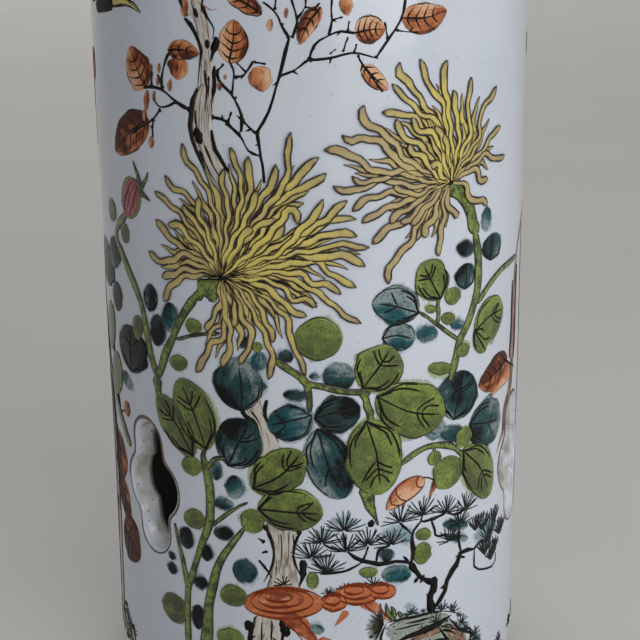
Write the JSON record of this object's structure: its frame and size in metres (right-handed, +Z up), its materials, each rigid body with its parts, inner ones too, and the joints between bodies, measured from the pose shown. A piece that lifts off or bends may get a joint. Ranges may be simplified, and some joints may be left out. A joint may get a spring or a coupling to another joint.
{
  "type": "hat stand",
  "caption": "Tall cylindrical porcelain hat stand with a rounded lip, a turned foot and rows of four-lobed windows, painted in enamels; a hat rests on its open mouth.",
  "frame": {"origin": "centre of the foot's resting face", "axes": "+Z up the tube's axis towards the mouth; +Y points out through one window of each row"},
  "size_m": [0.12, 0.12, 0.285],
  "materials": {
    "clear_glaze": "glossy bluish-white glaze over porcelain, with fired enamel painting",
    "bare_biscuit": "bare fired porcelain, matt, warm where the kiln flashed it"
  },
  "bodies": {
    "root": {"foot_ring": "bare_biscuit", "base_disc": "clear_glaze", "base_seam": "clear_glaze", "lower_wall": "clear_glaze", "waist_seam": "clear_glaze", "upper_wall": "clear_glaze", "rim_lip": "clear_glaze"}
  },
  "joints": []
}
